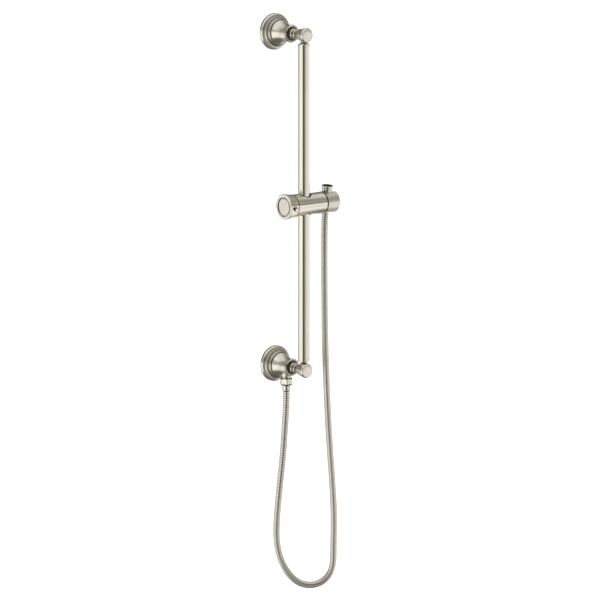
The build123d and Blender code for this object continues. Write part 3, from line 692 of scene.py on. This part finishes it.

# rings along the posts painted dark as shade: grooves, joints and necks between beads
postShadeRings = [
    (0.2, 0.5), (9.9, 0.4, 0.4), (15.6, 2.0, 0.6), (22.3, 1.1, 0.75), (57.0, 0.9), (60.8, 1.05, 0.9),
    (71.3, 1.8), (79.9, 1.8), (104.8, 0.9), (112.4, 0.2),
]
for end, height, side in (("top", postSpacing, -1), ("bottom", 0.0, 1)):
    centre = np.array([0.0, 0.0, height])
    satin = nickel(end + "_satin", "satin", outAxis, centre, postShadeRings)
    stand(turned(end + "_rose", flangePlan["outline"], outAxis, centre, 192, True), end + "_flange", satin)

    bore = 9.05 if end == "top" else 14.05
    floorOfBore = 28.0 if end == "top" else 28.5
    inside = [(floorOfBore, 0.0), (floorOfBore, bore), (5.0, bore), (5.0, 20.8), (17.8, 20.8)]
    outline = np.vstack([postPlan["outside"], postPlan["front"], inside])
    post = turned(end + "_wall_post", outline, outAxis, centre, 160, True)
    screwWay = np.array([0.0, 0.0, -1.0]) if end == "top" else np.array([math.sin(math.pi / 3), 0.0, -0.5])
    screwSeat = centre + outAxis * 24.0
    if end == "bottom":
        boss = [(12.0, 0.0), (12.0, 10.35), (22.1, 10.35), (22.6, 9.9), (22.6, 0.0)]
        carve(post, turned("boss", boss, -upAxis, (0.0, -41.0, 0.0), 96), "UNION")
        tap = [(13.6, 0.0), (13.6, 8.0), (24.0, 8.0), (24.0, 0.0)]
        carve(post, turned("tap", tap, -upAxis, (0.0, -41.0, 0.0), 64))
        down = [(0.0, 0.0), (0.0, 5.5), (24.0, 5.5), (24.0, 0.0)]
        along = [(27.0, 0.0), (27.0, 5.5), (46.5, 5.5), (46.5, 0.0)]
        carve(post, turned("way", down, -upAxis, (0.0, -41.0, 0.0), 48))
        carve(post, turned("way", along, outAxis, centre, 48))
    carve(post, turned(
        "screw_hole", [(5.0, 0.0), (5.0, 2.5), (40.0, 2.5), (40.0, 0.0)], screwWay, screwSeat, 32,
    ))
    stand(post, end + "_post", satin)

    dish = turned(end + "_dished_collar", collarPlan["outline"], outAxis, centre, 128, True)
    stand(dish, end + "_post_collar", satin)
    stand(turned(end + "_beads", stemPlan["outline"], outAxis, centre, 96), end + "_stem", satin)

    barrel = turned(end + "_barrel", finialPlan["outline"], outAxis, centre, 128, True)
    seat = centre + outAxis * barAxis + upAxis * 1.8 * side
    neck = plugPlan["neck"]
    hole = turned("plug_hole", [(0.0, 0.0), (0.0, neck), (20.0, neck), (20.0, 0.0)], upAxis * side, seat, 64)
    stand(carve(barrel, hole), end + "_finial", satin)
    disc = nickel(end + "_disc", "disc", outAxis, centre)
    stand(turned(end + "_barrel_disc", capPlan["outline"], outAxis, centre, 96), end + "_finial_cap", disc)

    low, neckTop, coneTop, top, tail = plugPlan["heights"]
    plug = np.vstack([
        [(low, 0.0), (low, 6.72)],
        soften([
            (neckTop - 4, 6.72), (neckTop, 6.72), (coneTop, 12.5), (top, 12.5), (top, 11.25), (tail, 11.25),
        ], 0.8),
        [(tail, 0.0)],
    ])
    plugCentre = centre + outAxis * barAxis
    # the plug's neck is painted dark as shade
    barFinish = nickel(end + "_plug_satin", "bar", upAxis, plugCentre, [(side * 15.2, 1.6)])
    stand(turned(end + "_bar_end", plug, upAxis * side, plugCentre, 96), end + "_bar_plug", barFinish)

barLow, barHigh = barPlan["ends"]
outer, inner, rim = barPlan["radius"], barPlan["inside"], 11.8  # the outline starts and ends on the rim
tube = soften([
    (barLow, rim), (barLow, outer), (barHigh, outer), (barHigh, inner), (barLow, inner), (barLow, rim),
], 0.12)
barFoot = np.array([0.0, -barAxis, 0.0])
barFinish = nickel("bar_satin", "bar", upAxis, barFoot)
stand(turned("bar", tube[:-1], upAxis, barFoot, 128, True), "slide_bar", barFinish)

print("outlet")
outletFoot = np.array([0.0, -41.0, 0.0])
# the joints between the nipple, nut and sleeve are painted dark as shade
fittings = nickel("lower_fittings", "fittings", upAxis, outletFoot, [
    (-22.7, 0.6), (-26.2, 1.1), (-39.9, 2.0), (-53.6, 0.7),
])
nipplePlan = dict(outline=np.vstack([
    [(-13.6, 5.0), (-13.6, 8.0), (-22.6, 8.0)],
    soften([(-22.6, 8.2), (-22.6, 9.75), (-26.0, 9.75), (-26.0, 10.4)], 0.2),
    soften([(-26.0, 10.4), (-35.0, 10.4), (-35.0, 6.6), (-23.4, 6.6), (-23.4, 5.0), (-13.6, 5.0)], 0.3)[1:-1],
]))
stand(turned("outlet_neck", nipplePlan["outline"], upAxis, outletFoot, 96, True), "outlet_nipple", fittings)
ferrulePlan = dict(outline=soften([
    (-38.4, 4.2), (-36.4, 4.2), (-36.4, 9.9), (-38.4, 9.9), (-38.4, 8.0), (-41.3, 8.0), (-41.3, 8.5),
    (-41.8, 8.8), (-53.0, 8.8), (-53.6, 8.2), (-53.6, 4.2), (-38.5, 4.2),
], 0.22))
lowerSleeve = stand(
    turned("lower_sleeve", ferrulePlan["outline"], upAxis, outletFoot, 96, True),
    "hose_lower_ferrule", fittings,
)


def hexNut(name, plan):
    # rows go up the outside, over the top, down the bore and back below. The outside radius at each
    # angle is the least of the rounded hexagon and of the two chamfers' cones at that height
    angle = np.arange(plan["angles"]) / plan["angles"] * 2 * np.pi
    turn = np.radians(plan["turn"])
    sector = (angle - turn + np.pi / 6) % (np.pi / 3) - np.pi / 6
    flat = plan["width"] / 2
    hexagon = np.minimum(
        flat / np.cos(sector), plan["corner"] - 2.0 * np.maximum(np.abs(sector) - 0.50, 0.0) ** 2,
    )
    low, high = plan["ends"]
    heights = np.concatenate([
        low + plan["bevel"] * np.linspace(0, 1, 8), high - plan["bevel"] * np.linspace(1, 0, 8),
    ])
    inward = np.minimum(heights - low, high - heights)[:, None]
    cone = flat - 0.35 + plan["reach"] * (inward / plan["bevel"]) ** 0.8
    outer = np.minimum(hexagon[None, :], cone)
    lip = np.full((1, len(angle)), flat - 0.75)
    holes = plan["holes"]
    radius = np.vstack([lip, outer, lip, *(np.full((1, len(angle)), r) for _, r in holes)])
    height = np.array([low, *heights, high, *(h for h, _ in holes)])[:, None] * np.ones(len(angle))
    points = outletFoot + np.stack([radius * np.cos(angle), radius * np.sin(angle), height], axis=-1)
    faces = gridFaces(len(radius), len(angle), True, True)
    return newObject(name, makeMesh(name, points.reshape(-1, 3), faces, 28.0))


hexPlan = dict(
    angles=192, turn=30.0, width=24.0, corner=13.45, ends=(-41.0, -26.0), bevel=2.4, reach=2.1,
    holes=[(-26.0, 10.9), (-26.4, 10.5), (-38.4, 10.5), (-38.4, 8.1), (-41.0, 8.1)],
)
lowerNut = stand(hexNut("hexagon_nut", hexPlan), "hose_hex_nut", fittings)

print("slider")
sliderCentre = np.array([0.0, -barAxis, sliderHeight])
boreShade = (upAxis, sliderCentre, 16.2, 0.95)
# the joints either side of the barrel and the bar's bore are painted dark as shade
polished = nickel(
    "slider_polished", "polished", xAxis, sliderCentre, [(-31.45, 1.2), (47.6, 1.9)], [boreShade],
)
bodyPlan = dict(outline=np.vstack([
    [(-50.0, 15.0)],
    soften([(-50.0, 19.0), (-50.0, 20.0), (-31.3, 20.0)], 0.3),
    soften([(-31.3, 20.1), (-31.3, 24.0), (-30.9, 24.4), (-30.0, 24.35)], 0.25),
    through((-29.8, 24.34), (14.0, 22.9), (46.0, 23.2), 40),
    soften([(46.2, 23.2), (46.6, 23.2), (47.1, 22.6), (47.1, 14.08)], 0.25),
    [(31.7, 14.08), (31.7, 0.0), (-14.0, 0.0), (-14.0, 9.08), (-25.0, 9.08), (-25.0, 15.0)],
]))
body = turned("slider_barrel", bodyPlan["outline"], xAxis, sliderCentre, 160, True)
boreOutline = [(-30.0, 0.0), (-30.0, 14.5), (30.0, 14.5), (30.0, 0.0)]
carve(body, turned("bar_bore", boreOutline, upAxis, sliderCentre, 96))
screwFoot = sliderCentre + xAxis * 37.2
carve(body, turned(
    "screw_hole", [(12.0, 0.0), (12.0, 2.5), (30.0, 2.5), (30.0, 0.0)], -upAxis, screwFoot, 32,
))
lockPlan = dict(pinTurn=11.7, turn=11.0, travel=7.2, radius=24.0, pinX=-38.2)  # degrees and millimetres
pinAngle = math.radians(lockPlan["pinTurn"])
pinWay = np.array([0.0, -math.cos(pinAngle), -math.sin(pinAngle)])


def slotTool(name, first, second, radius, out, low, high):
    # a slot's outline, two half circles joined, in the plane across out
    first, second, out = (np.asarray(p, float) for p in (first, second, out))
    way = second - first
    way -= out * (way @ out)
    way /= np.linalg.norm(way)
    side = np.cross(out, way)
    angles = np.linspace(-np.pi / 2, np.pi / 2, 20)
    reach = np.linalg.norm((second - first) - out * ((second - first) @ out))
    tip = np.column_stack([reach + radius * np.cos(angles), radius * np.sin(angles)])
    tail = np.column_stack([-radius * np.cos(angles), -radius * np.sin(angles)])
    return prism(
        name, np.vstack([tip, tail]), first - out * (first @ out - sliderCentre @ out), way, side, low, high,
    )


pinPlace = sliderCentre + xAxis * lockPlan["pinX"]
carve(body, slotTool("pin_slot", pinPlace - xAxis * 20, pinPlace, 4.5, pinWay, 12.0, 22.0))
stand(body, "slider_body", polished)

collarSection = dict(outline=np.vstack([
    [(-31.6, 20.08)],
    soften([(-31.6, 20.5), (-31.6, 24.0), (-32.0, 24.4), (-33.0, 24.53)], 0.25),
    [(-51.8, 27.03)],
    through((-52.3, 27.1), (-53.4, 26.7), (-53.9, 25.6)),
    soften([(-53.9, 25.4), (-53.9, 21.2), (-49.7, 21.2), (-49.7, 20.08), (-32.0, 20.08)], 0.3),
]))
collar = turned("lock_ring", collarSection["outline"], xAxis, sliderCentre, 192, True)
midAngle = math.radians(lockPlan["pinTurn"] - lockPlan["turn"] / 2)
slotOut = np.array([0.0, -math.cos(midAngle), -math.sin(midAngle)])
slotRise = np.cross(xAxis, slotOut) * math.radians(lockPlan["turn"]) * lockPlan["radius"]
slotMiddle = sliderCentre + xAxis * (lockPlan["pinX"] - lockPlan["travel"] / 2)
halfRun = (xAxis * lockPlan["travel"] + slotRise) / 2
carve(collar, slotTool("cam_slot", slotMiddle - halfRun, slotMiddle + halfRun, 4.65, slotOut, 17.0, 31.0))
stand(collar, "lock_collar", polished)

pinPlan = dict(outline=np.vstack([
    [(8.0, 0.0), (8.0, 2.5), (14.92, 2.5), (14.92, 4.2), (24.2, 4.2)],
    through((24.22, 4.2), (25.07, 3.85), (25.42, 3.0), 8),
    [(25.42, 0.0)],
]))
stand(turned("cam_button", pinPlan["outline"], pinWay, pinPlace, 64), "cam_pin", polished)

capCover = dict(outline=np.vstack([
    [(-50.4, 0.0), (-50.4, 15.0), (-51.4, 15.0), (-51.4, 17.3)],
    arc((-52.5, 16.7), 0.7, 90, 180, 8),
    [(-53.2, 16.0), (-53.2, 0.0)],
]))
sliderDisc = nickel("slider_disc", "disc", xAxis, sliderCentre)
stand(turned("slider_disc", capCover["outline"], xAxis, sliderCentre, 128), "slider_end_cap", sliderDisc)

print("holder")


def nutRadius(s):
    return 9.6 + (s + 8.0) * 2.4 / 43.6


holderPlan = dict(outline=np.vstack([
    [
        (32.0, 0.0), (32.0, 14.0), (34.3, 14.0), (34.3, 12.2), (40.1, 12.2), (40.1, 14.0), (40.6, 14.0),
        (40.6, 12.2), (46.4, 12.2), (46.4, 14.0), (48.1, 14.0),
    ],
    soften([(48.1, 15.0), (48.1, 22.5), (48.7, 23.1), (49.6, 23.1)], 0.25),
    arc((78.9, 20.5), 2.6, 90, 0, 12),
    [(81.5, 0.0)],
]))
holderBody = turned("hose_holder", holderPlan["outline"], xAxis, sliderCentre, 160)
taper = [(-32.0, 0.0), (-32.0, nutRadius(-32) + 0.08), (32.0, nutRadius(32) + 0.08), (32.0, 0.0)]
carve(holderBody, turned("socket", taper, socketAxis, socketCentre, 96))
slotOutline = np.array([(0.0, -32.0), (40.0, -32.0), (40.0, 32.0), (0.0, 32.0)])
carve(holderBody, prism("hose_slot", slotOutline, socketCentre, xAxis, socketAxis, -7.7, 7.7))
tiltPlan = dict(forward=15.0, back=25.0, foot=-29.0)
reliefOutline = np.array([
    (-8.6, -5.0),
    (-8.9 - 24 * math.tan(math.radians(tiltPlan["forward"])), tiltPlan["foot"]),
    (9.4 + 29 * math.tan(math.radians(tiltPlan["back"])), tiltPlan["foot"]),
    (9.4, -3.0),
])
carve(holderBody, prism("relief", reliefOutline, socketCentre, -outAxis, upAxis, -8.0, 8.0))
# the joint with the barrel and the hose socket are painted dark as shade
holderFinish = nickel("holder_brushed", "brushed", xAxis, sliderCentre, [(47.6, 2.1)], [
    (socketAxis, socketCentre, 12.1, 0.8),
])
stand(holderBody, "holder", holderFinish)

nutPlan = dict(outline=np.vstack([
    soften([
        (-7.5, 8.18), (-8.0, 8.18), (-8.0, 9.6), (35.0, nutRadius(35.0)), (35.6, 11.4), (35.6, 10.8),
    ], 0.3),
    soften([
        (35.6, 10.8), (35.2, 10.5), (22.9, 10.5), (22.9, 10.3), (19.2, 10.3), (19.2, 8.18), (-7.5, 8.18),
    ], 0.15),
]))
upperFinish = nickel("upper_fittings", "fittings", socketAxis, socketCentre)
conicalNut = stand(
    turned("conical_nut", nutPlan["outline"][:-1], socketAxis, socketCentre, 128, True),
    "hose_conical_nut", upperFinish,
)

# pieces that keep their CAD shape
print("inner pieces")
innerLooks = {
    "brass": plain("brass_turned", (0.78, 0.58, 0.29), (0.62, 0.43, 0.19), 0.30, 1.0, 900.0, 0.05),
    "cast_zinc": plain("zinc_cast", (0.46, 0.47, 0.48), (0.32, 0.33, 0.34), 0.48, 0.9, 1500.0, 0.15),
    "stainless_steel": plain("steel_drawn", (0.58, 0.57, 0.55), (0.42, 0.41, 0.40), 0.28, 1.0, 1200.0, 0.04),
    "black_rubber": plain(
        "rubber_moulded", (0.022, 0.021, 0.020), (0.012, 0.012, 0.012), 0.68, 0.0, 1800.0, 0.20,
    ),
    "black_acetal": plain(
        "acetal_moulded", (0.030, 0.030, 0.031), (0.018, 0.018, 0.019), 0.42, 0.0, 1100.0, 0.08,
    ),
    "hose_fittings": plain("ferrule_plate", (0.70, 0.64, 0.56), (0.58, 0.52, 0.44), 0.22, 1.0, 900.0, 0.04),
}
for node, thing in frame["nodes"].items():
    if not thing.hide_render:
        look = innerLooks[slotOf[node] if slotOf[node] in innerLooks else "stainless_steel"]
        thing.data.materials.clear()
        thing.data.materials.append(look)
        print("kept", node, slotOf[node])

print("size")
